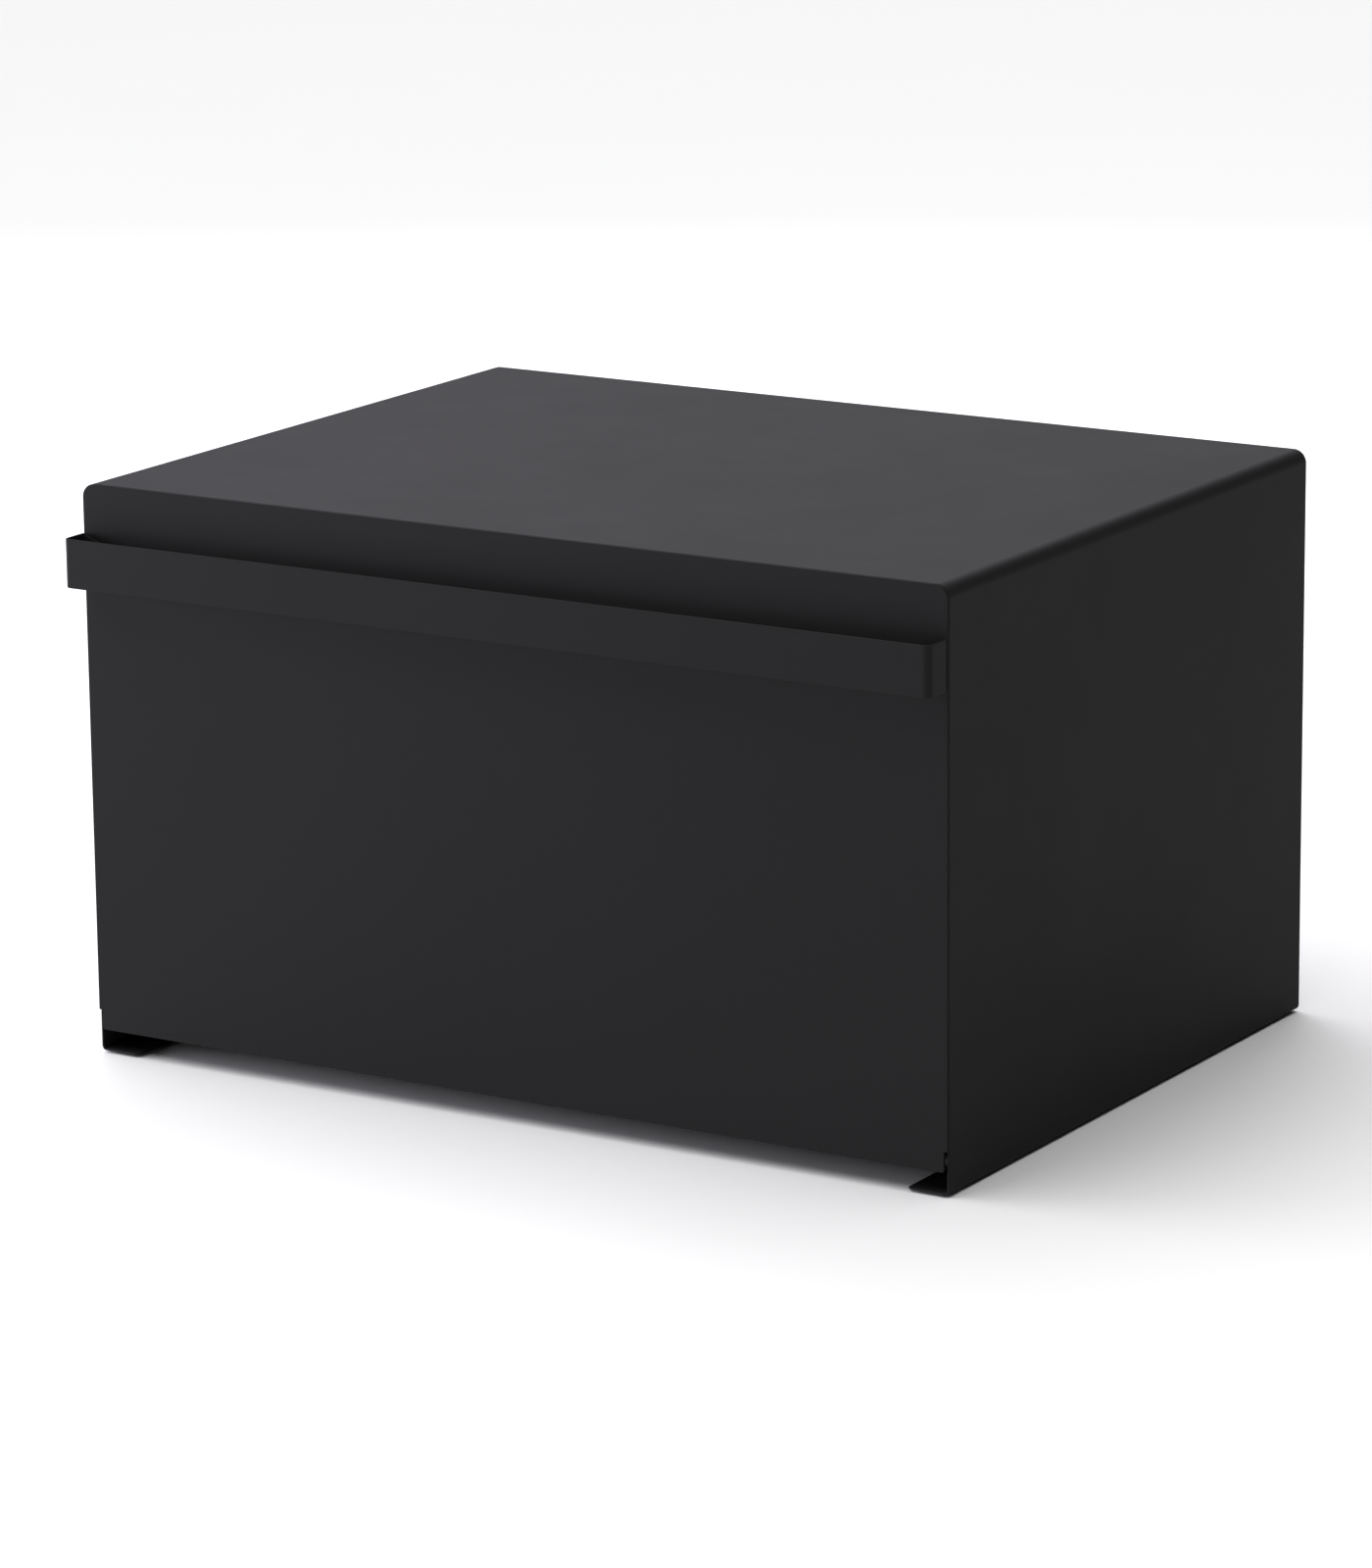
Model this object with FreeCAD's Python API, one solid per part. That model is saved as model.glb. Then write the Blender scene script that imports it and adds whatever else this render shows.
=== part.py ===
"""Drop-front storage bin folded from thin steel sheet.

One folded sheet makes the top, the two sides and the inward foot flanges.
A flat front door covers the front edges, turns on two studs near its bottom edge
and carries a full-width strip handle. Millimetres, +Z up, the door faces -Y,
origin under the middle of the whole object, on the surface that it stands on.
"""
import FreeCAD, Part
import math
import os

V = FreeCAD.Vector

# Overall sizes
WIDTH = 430.0
DEPTH = 322.0
HEIGHT = 257.0
SHEET = 1.0

# Shell
TOP_BEND = 5.0
FOOT_BEND = 1.3
FOOT_WIDTH = 20.0
FOOT_CORNER = 6.0
PAD_HEIGHT = 1.0
PAD_RADIUS = 7.0
PAD_INSET = 24.0
PAD_OFFSET = 1.0

# Door
DOOR_BOTTOM = 11.0
DOOR_GAP = 0.3
DOOR_CORNER = 6.0
NOTCH_WIDTH = 1.8
NOTCH_TOP = 20.0
NOTCH_RADIUS = 1.2

# Handle, a strip across the whole door
HANDLE_PROJECTION = 15.0
HANDLE_BOTTOM = 213.4
HANDLE_HEIGHT = 21.8
HANDLE_BEND = 2.0
HANDLE_TAB = 16.0
TAB_BEND = 0.6

# Pivot, measured from the door's front face and from the ground
PIVOT_SETBACK = 4.5
PIVOT_HEIGHT = 16.0
STUD_RADIUS = 2.0
STUD_FIT = 0.05
STUD_BASE = 0.6
WASHER = 0.6
RUN_GAP = 0.3
NUT = 0.8
STUD_TIP = 0.8
HARDWARE_RADIUS = 3.2

# Door liner, a pan behind the door skin whose side flanges carry the pivot holes
LINER_SHEET = 0.8
LINER_BOTTOM = 21.0
LINER_TOP_GAP = 1.6
LINER_DEPTH = 12.0
LINER_LIP = 11.0
LINER_BEND = 0.8
LINER_RELIEF = 5.0
EAR_RADIUS = 4.6
EAR_ROOT = 34.0

# Floor and back
FLOOR_TOP = 26.0
FLOOR_FRONT = 3.0
FLOOR_LIP = 4.5
FLANGE = 12.0
PANEL_BEND = 1.0
PANEL_RELIEF = 8.0
FLOOR_NOTCH = 16.0
BACK_INSET = 1.0
BACK_BOTTOM = 11.0
BACK_FLANGE_GAP = 2.0

# Magnetic catches under the top
CATCH_X = 120.0
CATCH_GAP = 0.4
CASE_WIDTH = 42.0
CASE_DEPTH = 15.0
CASE_HEIGHT = 12.0
CASE_EDGE = 1.0
CASE_DROP = 1.0
MAGNET_WIDTH = 26.0
MAGNET_DEPTH = 4.0
MAGNET_HEIGHT = 8.0
RIVET_RADIUS = 1.5
RIVET_SPREAD = 13.0
RIVET_DEPTH = 6.0
RIVET_HEAD = 1.0
BRACKET_FOOT = 16.0

# Worked-out places
HALF = WIDTH / 2
INNER = HALF - SHEET
TOP_INNER = HEIGHT - SHEET
FACE_Y = (HANDLE_PROJECTION - DEPTH) / 2
LINER_HALF = INNER - STUD_BASE - WASHER - RUN_GAP
LINER_TOP = TOP_INNER - LINER_TOP_GAP
LINER_BACK = SHEET + LINER_DEPTH
CASE_FRONT = LINER_BACK + CATCH_GAP
CASE_TOP = LINER_TOP - CASE_DROP
PIVOT_Y = FACE_Y + PIVOT_SETBACK
SIDES = (("left", -1), ("right", 1))


def y_at(distance):
    """Frame y of a plane this far behind the door's front face."""
    return FACE_Y + distance


def box(x0, x1, y0, y1, z0, z1):
    return Part.makeBox(x1 - x0, y1 - y0, z1 - z0, V(x0, y0, z0))


def cylinder_x(radius, x0, x1, y, z):
    """Cylinder along X between two x values."""
    low = min(x0, x1)
    return Part.makeCylinder(radius, abs(x1 - x0), V(low, y, z), V(1, 0, 0))


def rounded_line(points, radii):
    """Edges of an open polyline in the XY plane with an arc at each inner corner."""
    edges = []
    last = V(*points[0], 0)
    for i in range(1, len(points) - 1):
        corner = V(*points[i], 0)
        to_before = (V(*points[i - 1], 0) - corner).normalize()
        to_after = (V(*points[i + 1], 0) - corner).normalize()
        half_angle = to_before.getAngle(to_after) / 2
        reach = radii[i - 1] / math.tan(half_angle)
        middle = (to_before + to_after).normalize()
        centre_distance = radii[i - 1] / math.sin(half_angle)
        start = corner + to_before * reach
        end = corner + to_after * reach
        crest = corner + middle * (centre_distance - radii[i - 1])
        if (start - last).Length > 1e-6:
            edges.append(Part.makeLine(last, start))
        edges.append(Part.Arc(start, crest, end).toShape())
        last = end
    edges.append(Part.makeLine(last, V(*points[-1], 0)))
    return edges


def bent_sheet(points, bend, thickness, length):
    """Folded sheet: its outer face follows the points, its inside lies to their left.

    The section is in the XY plane and is drawn out along +Z. bend is the radius
    on the inside of each fold; every fold turns left.
    """
    bends = [bend] * (len(points) - 2) if isinstance(bend, float) else bend
    outer_radii = [r + thickness for r in bends]
    shifted = []
    for i, point in enumerate(points):
        before = V(*points[i], 0) - V(*points[i - 1], 0) if i else None
        after = V(*points[i + 1], 0) - V(*point, 0) if i < len(points) - 1 else None
        normals = [V(-d.y, d.x, 0).normalize() for d in (before, after) if d is not None]
        total = normals[0] if len(normals) == 1 else normals[0] + normals[1]
        scale = thickness / total.dot(normals[0])
        place = V(*point, 0) + total * scale
        shifted.append((place.x, place.y))
    outer = rounded_line(points, outer_radii)
    inner = rounded_line(shifted, bends)
    start_cap = Part.makeLine(V(*points[0], 0), V(*shifted[0], 0))
    end_cap = Part.makeLine(V(*points[-1], 0), V(*shifted[-1], 0))
    wire = Part.Wire(Part.__sortEdges__(outer + inner + [start_cap, end_cap]))
    return Part.Face(wire).extrude(V(0, 0, length))


def stand_up(shape, y_back):
    """Turn a section drawn as (x, z) upright; it ends at y_back and runs forwards."""
    shape.rotate(V(0, 0, 0), V(1, 0, 0), 90)
    shape.translate(V(0, y_back, 0))
    return shape


def lay_across(shape, x_left):
    """Turn a section drawn as (y, z) so that it runs along +X from x_left."""
    shape.rotate(V(0, 0, 0), V(1, 1, 1), 120)
    shape.translate(V(x_left, 0, 0))
    return shape


def rounded_edges(shape, radius, wanted):
    """Fillet the edges whose middle passes the test."""
    edges = [e for e in shape.Edges if wanted(e.CenterOfMass, e)]
    return shape.makeFillet(radius, edges)


def shell():
    """Top, sides and inward foot flanges in one folded sheet."""
    section = [
        (HALF - FOOT_WIDTH, PAD_HEIGHT),
        (HALF, PAD_HEIGHT),
        (HALF, HEIGHT),
        (-HALF, HEIGHT),
        (-HALF, PAD_HEIGHT),
        (-HALF + FOOT_WIDTH, PAD_HEIGHT),
    ]
    bends = [FOOT_BEND, TOP_BEND, TOP_BEND, FOOT_BEND]
    front = y_at(SHEET + DOOR_GAP)
    back = y_at(DEPTH)
    body = stand_up(bent_sheet(section, bends, SHEET, back - front), back)
    flange_end = HALF - FOOT_WIDTH

    def is_flange_corner(middle, edge):
        upright = edge.Length < SHEET + 0.01
        return upright and abs(abs(middle.x) - flange_end) < 0.01 and middle.z < PAD_HEIGHT + SHEET

    return rounded_edges(body, FOOT_CORNER, is_flange_corner)


def back_panel():
    """Pan that closes the rear, with flanges turned forwards inside the shell."""
    rear = y_at(DEPTH - BACK_INSET)
    front = rear - FLANGE
    level_low = FLOOR_TOP + BACK_FLANGE_GAP
    level_high = TOP_INNER - PANEL_RELIEF
    across = [(INNER, front), (INNER, rear), (-INNER, rear), (-INNER, front)]
    body = bent_sheet(across, PANEL_BEND, SHEET, level_high - level_low)
    body.translate(V(0, 0, level_low))
    upright = [(front, BACK_BOTTOM), (rear, BACK_BOTTOM), (rear, TOP_INNER), (front, TOP_INNER)]
    span = INNER - PANEL_RELIEF
    body = body.fuse(lay_across(bent_sheet(upright, PANEL_BEND, SHEET, 2 * span), -span))
    low_strip = box(-INNER, INNER, rear - SHEET, rear, BACK_BOTTOM + SHEET + PANEL_BEND, level_low)
    body = body.fuse(low_strip)
    for _, side in SIDES:
        x0, x1 = sorted((side * span, side * INNER))
        corner = box(x0, x1, rear - SHEET, rear, level_high, TOP_INNER)

        def is_top_corner(middle, edge, limit=side * INNER):
            return abs(middle.x - limit) < 0.01 and abs(middle.z - TOP_INNER) < 0.01

        body = body.fuse(rounded_edges(corner, TOP_BEND, is_top_corner))
    return body.removeSplitter()


def floor_panel():
    """Raised floor with flanges turned down at the sides and rear and a short front lip."""
    rear = y_at(DEPTH - BACK_INSET - SHEET)
    notch = y_at(FLOOR_NOTCH)
    low = FLOOR_TOP - FLANGE
    across = [(INNER, low), (INNER, FLOOR_TOP), (-INNER, FLOOR_TOP), (-INNER, low)]
    wide_back = rear - PANEL_RELIEF
    wide = stand_up(bent_sheet(across, PANEL_BEND, SHEET, wide_back - notch), wide_back)
    lip = FLOOR_TOP - FLOOR_LIP
    front = y_at(FLOOR_FRONT)
    along = [(rear, low), (rear, FLOOR_TOP), (front, FLOOR_TOP), (front, lip)]
    span = INNER - PANEL_RELIEF
    return wide.fuse(lay_across(bent_sheet(along, PANEL_BEND, SHEET, 2 * span), -span)).removeSplitter()


def door_skin():
    """Flat front of the door, as wide as the shell, narrower below the pivot."""
    low_half = HALF - NOTCH_WIDTH
    plate = box(-HALF, HALF, FACE_Y, FACE_Y + SHEET, NOTCH_TOP, HEIGHT)
    tail = box(-low_half, low_half, FACE_Y, FACE_Y + SHEET, DOOR_BOTTOM, NOTCH_TOP)

    def is_top_corner(middle, edge):
        return abs(abs(middle.x) - HALF) < 0.01 and abs(middle.z - HEIGHT) < 0.01

    def is_low_corner(middle, edge):
        return abs(abs(middle.x) - low_half) < 0.01 and abs(middle.z - DOOR_BOTTOM) < 0.01

    plate = rounded_edges(plate, DOOR_CORNER, is_top_corner)
    tail = rounded_edges(tail, NOTCH_RADIUS, is_low_corner)
    return plate.fuse(tail).removeSplitter()


def liner_ear(side):
    """Lower end of a liner side flange, round the pivot hole."""
    x0, x1 = sorted((side * LINER_HALF, side * (LINER_HALF - LINER_SHEET)))
    y0 = FACE_Y + SHEET
    outline = [
        V(x0, y0, PIVOT_HEIGHT),
        V(x0, y0, EAR_ROOT),
        V(x0, y0 + LINER_DEPTH, EAR_ROOT),
        V(x0, PIVOT_Y + EAR_RADIUS, PIVOT_HEIGHT),
        V(x0, y0, PIVOT_HEIGHT),
    ]
    blade = Part.Face(Part.makePolygon(outline)).extrude(V(x1 - x0, 0, 0))
    boss = cylinder_x(EAR_RADIUS, x0, x1, PIVOT_Y, PIVOT_HEIGHT)
    front_of_skin = box(x0, x1, FACE_Y - 1, y0, 0, EAR_ROOT)
    hole = cylinder_x(STUD_RADIUS + STUD_FIT, x0 - 1, x1 + 1, PIVOT_Y, PIVOT_HEIGHT)
    return blade.fuse(boss).cut(front_of_skin).cut(hole)


def door_liner():
    """Pan on the back of the skin: side flanges with pivot ears, hooked top flange."""
    y0 = FACE_Y + SHEET
    y1 = y0 + LINER_DEPTH
    across = [(-LINER_HALF, y1), (-LINER_HALF, y0), (LINER_HALF, y0), (LINER_HALF, y1)]
    flange_top = LINER_TOP - LINER_RELIEF
    body = bent_sheet(across, LINER_BEND, LINER_SHEET, flange_top - LINER_BOTTOM)
    body.translate(V(0, 0, LINER_BOTTOM))
    for _, side in SIDES:
        x0, x1 = sorted((side * (LINER_HALF - LINER_SHEET), side * (LINER_HALF + 1)))
        body = body.cut(box(x0, x1, y0 - 1, y1 + 1, LINER_BOTTOM - 1, EAR_ROOT))
    span = LINER_HALF - LINER_RELIEF
    hook = [(y1, LINER_TOP - LINER_LIP), (y1, LINER_TOP), (y0, LINER_TOP), (y0, LINER_BOTTOM)]
    body = body.fuse(lay_across(bent_sheet(hook, LINER_BEND, LINER_SHEET, 2 * span), -span))
    for _, side in SIDES:
        body = body.fuse(liner_ear(side))
    return body.removeSplitter()


def door_handle():
    """Strip across the door with a return and a welding tab at each end."""
    out = FACE_Y - HANDLE_PROJECTION
    tab = HALF - HANDLE_TAB
    path = [(-tab, FACE_Y), (-HALF, FACE_Y), (-HALF, out), (HALF, out), (HALF, FACE_Y), (tab, FACE_Y)]
    bends = [TAB_BEND, HANDLE_BEND, HANDLE_BEND, TAB_BEND]
    strip = bent_sheet(path, bends, SHEET, HANDLE_HEIGHT)
    strip.translate(V(0, 0, HANDLE_BOTTOM))
    return strip


def pivot_hardware(side):
    """Welded stud, nylon washer and push nut of one pivot, from the shell inwards."""
    face = side * INNER
    base_end = side * (INNER - STUD_BASE)
    washer_end = side * (INNER - STUD_BASE - WASHER)
    nut_start = side * (LINER_HALF - LINER_SHEET - RUN_GAP)
    nut_end = side * (LINER_HALF - LINER_SHEET - RUN_GAP - NUT)
    tip = side * (LINER_HALF - LINER_SHEET - RUN_GAP - NUT - STUD_TIP)
    base = cylinder_x(HARDWARE_RADIUS, face, base_end, PIVOT_Y, PIVOT_HEIGHT)
    shank = cylinder_x(STUD_RADIUS, face, tip, PIVOT_Y, PIVOT_HEIGHT)
    stud = base.fuse(shank).removeSplitter()
    washer = cylinder_x(HARDWARE_RADIUS, base_end, washer_end, PIVOT_Y, PIVOT_HEIGHT).cut(shank)
    nut = cylinder_x(HARDWARE_RADIUS, nut_start, nut_end, PIVOT_Y, PIVOT_HEIGHT).cut(shank)
    return stud, washer, nut


def catch_parts(side):
    """Bracket, magnet case, magnet and rivets of one magnetic catch."""
    x = side * CATCH_X
    case_y0 = y_at(CASE_FRONT)
    case_y1 = case_y0 + CASE_DEPTH
    case_z0 = CASE_TOP - CASE_HEIGHT
    half = CASE_WIDTH / 2
    legs = [(case_y1, case_z0), (case_y1, TOP_INNER), (case_y1 + BRACKET_FOOT, TOP_INNER)]
    mirrored = [(-y, z) for y, z in legs]
    bracket = bent_sheet(mirrored, PANEL_BEND, SHEET, CASE_WIDTH)
    bracket = bracket.mirror(V(0, 0, 0), V(1, 0, 0))
    bracket = lay_across(bracket, x - half)
    case = box(x - half, x + half, case_y0, case_y1, case_z0, CASE_TOP)

    def is_front_edge(middle, edge):
        return abs(middle.y - case_y0) < 0.01

    case = rounded_edges(case, CASE_EDGE, is_front_edge)
    magnet_z0 = case_z0 + (CASE_HEIGHT - MAGNET_HEIGHT) / 2
    magnet = box(x - MAGNET_WIDTH / 2, x + MAGNET_WIDTH / 2, case_y0, case_y0 + MAGNET_DEPTH,
                 magnet_z0, magnet_z0 + MAGNET_HEIGHT)
    case = case.cut(magnet)
    rivets = []
    for place in (-RIVET_SPREAD, RIVET_SPREAD):
        middle_z = case_z0 + CASE_HEIGHT / 2
        end = V(x + place, case_y1 - RIVET_DEPTH, middle_z)
        seat = V(x + place, case_y1 + SHEET, middle_z)
        shank = Part.makeCylinder(RIVET_RADIUS, RIVET_DEPTH + SHEET, end, V(0, 1, 0))
        head = Part.makeCylinder(2 * RIVET_RADIUS, RIVET_HEAD, seat, V(0, 1, 0))
        case = case.cut(shank)
        bracket = bracket.cut(shank)
        rivets.append(shank.fuse(head).removeSplitter())
    return bracket, case, magnet, Part.makeCompound(rivets)


def foot_pad(x, y):
    return Part.makeCylinder(PAD_RADIUS, PAD_HEIGHT, V(x, y, 0))


def build():
    nodes = {
        "shell": shell(),
        "back_panel": back_panel(),
        "floor_panel": floor_panel(),
        "door_skin": door_skin(),
        "door_liner": door_liner(),
        "door_handle": door_handle(),
    }
    for name, side in SIDES:
        stud, washer, nut = pivot_hardware(side)
        nodes["pivot_stud_" + name] = stud
        nodes["pivot_washer_" + name] = washer
        nodes["push_nut_" + name] = nut
        bracket, case, magnet, rivets = catch_parts(side)
        nodes["catch_bracket_" + name] = bracket
        nodes["magnet_case_" + name] = case
        nodes["magnet_" + name] = magnet
        nodes["catch_rivets_" + name] = rivets
        x = side * (HALF - FOOT_WIDTH / 2 - PAD_OFFSET)
        nodes["foot_pad_front_" + name] = foot_pad(x, y_at(SHEET + PAD_INSET))
        nodes["foot_pad_rear_" + name] = foot_pad(x, y_at(DEPTH - PAD_INSET))
    return nodes


os.makedirs("parts", exist_ok=True)
for node, shape in build().items():
    shape.exportStep("parts/" + node + ".step")
    size = shape.BoundBox
    print(node, len(shape.Solids), shape.isValid(), round(shape.Volume, 1), size)
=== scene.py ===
"""Looks of a drop-front steel storage bin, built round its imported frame.

One operator makes each piece or group of like pieces. Sizes and colours are in
the property groups. Metres throughout.
"""
import math

import bmesh
import bpy
from bpy.props import FloatProperty, FloatVectorProperty, IntProperty, PointerProperty
from mathutils import Matrix, Vector


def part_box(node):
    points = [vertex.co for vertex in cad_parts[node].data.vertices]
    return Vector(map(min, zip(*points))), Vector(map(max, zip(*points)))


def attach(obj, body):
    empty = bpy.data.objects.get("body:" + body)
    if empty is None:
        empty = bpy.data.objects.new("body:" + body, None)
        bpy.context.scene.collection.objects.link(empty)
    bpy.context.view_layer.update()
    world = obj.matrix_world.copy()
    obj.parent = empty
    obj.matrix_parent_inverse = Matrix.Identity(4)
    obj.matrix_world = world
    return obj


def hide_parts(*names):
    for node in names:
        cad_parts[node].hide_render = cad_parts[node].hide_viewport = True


bl_info = {
    "name": "Drop-front bin",
    "version": (1, 0, 0),
    "blender": (4, 5, 0),
    "location": "View3D > Sidebar > Bin",
    "description": "Builds a powder-coated folded-steel bin with a drop-down door",
    "category": "Object",
}

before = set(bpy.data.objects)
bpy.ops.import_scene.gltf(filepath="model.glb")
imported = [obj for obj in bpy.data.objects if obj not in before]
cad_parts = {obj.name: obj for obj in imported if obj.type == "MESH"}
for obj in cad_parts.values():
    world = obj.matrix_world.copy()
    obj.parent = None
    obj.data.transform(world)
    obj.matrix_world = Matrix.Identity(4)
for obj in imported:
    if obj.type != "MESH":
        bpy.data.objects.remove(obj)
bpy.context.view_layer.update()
SIDES = (("left", -1), ("right", 1))
NEAR = 1e-5

SHELL_LOW, SHELL_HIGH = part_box("shell")
SKIN_LOW, SKIN_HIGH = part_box("door_skin")
HANDLE_LOW, HANDLE_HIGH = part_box("door_handle")
SHEET = SKIN_HIGH.y - SKIN_LOW.y
STUD_LOW, STUD_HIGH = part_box("pivot_stud_right")
PIVOT = (STUD_LOW + STUD_HIGH) / 2

# Fixed sizes that the property groups don't carry.
SLOT_WIDTH = 0.0003
SLOT_DEPTH = 0.0022
BACK_FLANGE_RISE = 0.017
FLOOR_NOTCH = 0.013
FLOOR_LIP = 0.0045
LINER_BOTTOM = 0.021
LINER_RELIEF = 0.005
LINER_EAR_RELIEF = 0.003
LINER_LIP = 0.011
EAR_ROOT = 0.034
PIVOT_HOLE = 0.00205
STUD_BASE = 0.0006
STUD_RADIUS = 0.002
TEETH = 6
CASE_GROOVE = 0.002
CASE_GROOVE_DEPTH = 0.0005
BRACKET_CORNER = 0.0015
MAGNET_RECESS = 0.0003
POLE_SHEET = 0.0012
RIVET_HEAD = 0.001
PAD_DISH = 0.0003
WELD_RISE = 0.00016
LINER_WELD_INSET = 0.012
LINER_WELD_LOWEST = 0.030
LINER_WELD_DROP = 0.018
BACK_WELD_RISE = 0.0045
BACK_WELD_REACH = 0.180
TACK_RADIUS = 0.0015
MERGE_DISTANCE = 1e-6

# Shares of another size, which is named after each.
TAB_TAPER = 0.4  # the tab's root
EAR_CORNER = 0.86  # the ear's boss
THIN_EDGE = 0.7  # the thicker sheet's edge rounding
STUD_STEPS = (0.55, 0.1, 0.2, 0.15)  # the stud's length
STUD_END = 0.35  # the stud's radius
NUT_ROOT = 0.78  # the nut's radius
NUT_SHEET = 0.4  # the nut's depth
RIVET_DOME = 0.85  # the head's height
PAD_RIM = 0.3  # the pad's radius
WELD_RIM = 0.35  # the mark's radius
WELD_DISH = 0.3  # the mark's height
TACK_HEIGHT = 0.45  # the tack's radius
FACING = 0.9  # a unit normal, along the axis that the face looks along

# Edge roundings of the small parts, and the angles that count as an edge.
TOOTH_EDGE = 0.00008
RIVET_EDGE = 0.0001
TURNED_EDGE = 0.00012
PLATE_EDGE = 0.0002
BRACKET_EDGE = 0.00025
MOULDED_EDGE = 0.0003
FOLDED_ANGLE = math.radians(40)
TURNED_ANGLE = math.radians(60)
WELD_ANGLE = math.radians(50)

# Rotations that turn a round part's axis along X, along Y and up.
ACROSS = (0, math.radians(90), 0)
FRONT_TO_BACK = (math.radians(90), 0, 0)
UPRIGHT = (0, 0, 0)


# ---------------------------------------------------------------- properties

class BinSizes(bpy.types.PropertyGroup):
    """Sizes of the sheet-metal work"""

    edge_round: FloatProperty(
        name="Edge rounding", description="Radius of the coated sheet's cut edges",
        default=0.0004, min=0.0, unit="LENGTH", precision=5)
    top_bend: FloatProperty(
        name="Top bend", description="Outer radius of the shell's two top folds",
        default=0.006, min=0.001, unit="LENGTH", precision=4)
    foot_bend: FloatProperty(
        name="Foot bend", description="Outer radius of the folds above the foot flanges",
        default=0.0023, min=0.001, unit="LENGTH", precision=4)
    foot_width: FloatProperty(
        name="Foot flange width", description="How far each foot flange reaches inwards",
        default=0.020, min=0.005, unit="LENGTH", precision=4)
    foot_corner: FloatProperty(
        name="Foot flange corner", description="Radius of the flange's free corners",
        default=0.0025, min=0.0, unit="LENGTH", precision=4)
    door_corner: FloatProperty(
        name="Door corner", description="Radius of the door's top corners",
        default=0.006, min=0.0, unit="LENGTH", precision=4)
    notch_width: FloatProperty(
        name="Notch width", description="How much narrower the door is below its pivot, on each side",
        default=0.0018, min=0.0, unit="LENGTH", precision=4)
    notch_top: FloatProperty(
        name="Notch top", description="Height at which the door gets its full width",
        default=0.020, min=0.0, unit="LENGTH", precision=4)
    notch_corner: FloatProperty(
        name="Tail corner", description="Radius of the door's lowest corners",
        default=0.0012, min=0.0, unit="LENGTH", precision=4)
    handle_bend: FloatProperty(
        name="Handle bend", description="Outer radius of the handle's two front folds",
        default=0.003, min=0.001, unit="LENGTH", precision=4)
    tab_bend: FloatProperty(
        name="Tab bend", description="Outer radius of the folds at the handle's welding tabs",
        default=0.0016, min=0.001, unit="LENGTH", precision=4)
    handle_tab: FloatProperty(
        name="Handle tab", description="Length of each welding tab behind the handle",
        default=0.016, min=0.002, unit="LENGTH", precision=4)
    panel_bend: FloatProperty(
        name="Panel bend", description="Outer radius of the back and floor panels' folds",
        default=0.002, min=0.0005, unit="LENGTH", precision=4)
    panel_relief: FloatProperty(
        name="Panel relief", description="How far the panels' end flanges stop short of the corners",
        default=0.008, min=0.001, unit="LENGTH", precision=4)
    liner_sheet: FloatProperty(
        name="Liner sheet", description="Thickness of the pan behind the door skin",
        default=0.0008, min=0.0003, unit="LENGTH", precision=5)
    liner_bend: FloatProperty(
        name="Liner bend", description="Outer radius of the pan's folds",
        default=0.0016, min=0.0005, unit="LENGTH", precision=4)
    weld_radius: FloatProperty(
        name="Weld mark", description="Radius of a spot weld's shallow mark",
        default=0.0026, min=0.0005, unit="LENGTH", precision=4)
    fold_steps: IntProperty(
        name="Fold steps", description="Facets in each fold", default=12, min=4, max=32)


class BinColours(bpy.types.PropertyGroup):
    """Colours and finishes"""

    coat: FloatVectorProperty(
        name="Powder coat", description="Colour of the coated steel",
        subtype="COLOR", size=3, min=0, max=1, default=(0.0121, 0.0119, 0.0124))
    coat_roughness: FloatProperty(
        name="Coat roughness", description="How matte the powder coat is",
        default=0.68, min=0.0, max=1.0, subtype="FACTOR")
    zinc: FloatVectorProperty(
        name="Zinc", description="Colour of the black-passivated studs, nuts and rivets",
        subtype="COLOR", size=3, min=0, max=1, default=(0.070, 0.070, 0.072))
    nylon: FloatVectorProperty(
        name="Nylon", description="Colour of the pivot washers",
        subtype="COLOR", size=3, min=0, max=1, default=(0.018, 0.018, 0.018))
    case_plastic: FloatVectorProperty(
        name="Case plastic", description="Colour of the magnet cases",
        subtype="COLOR", size=3, min=0, max=1, default=(0.012, 0.012, 0.0125))
    ferrite: FloatVectorProperty(
        name="Ferrite", description="Colour of the magnets",
        subtype="COLOR", size=3, min=0, max=1, default=(0.075, 0.073, 0.072))
    rubber: FloatVectorProperty(
        name="Rubber", description="Colour of the foot pads",
        subtype="COLOR", size=3, min=0, max=1, default=(0.022, 0.022, 0.022))
    floor: FloatVectorProperty(
        name="Floor", description="Colour of the studio floor",
        subtype="COLOR", size=3, min=0, max=1, default=(0.86, 0.86, 0.86))


class StudioSettings(bpy.types.PropertyGroup):
    """Lights, camera and backdrop"""

    sky: FloatProperty(
        name="Sky", description="Strength of the faint even light from all round",
        default=0.03, min=0.0)
    ceiling: FloatProperty(
        name="Ceiling light", description="Strength of the wide soft light from above",
        default=3.5, min=0.0)
    rear: FloatProperty(
        name="Rear softbox", description="Power of the softbox behind the bin",
        default=12.8, min=0.0, subtype="POWER")
    rear_left: FloatProperty(
        name="Rear left softbox", description="Power of the softbox behind the bin's left end",
        default=3.8, min=0.0, subtype="POWER")
    left: FloatProperty(
        name="Left softbox", description="Power of the low softbox on the left",
        default=36.0, min=0.0, subtype="POWER")
    front: FloatProperty(
        name="Front softbox", description="Power of the low softbox in front",
        default=5.5, min=0.0, subtype="POWER")
    lens: FloatProperty(
        name="Lens", description="Focal length in millimetres",
        default=149.97, min=10.0)
    distance: FloatProperty(
        name="Camera distance", description="From the camera to the point that it goes round",
        default=2.918, min=0.1, unit="LENGTH")


# ------------------------------------------------------------------- shading

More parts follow.
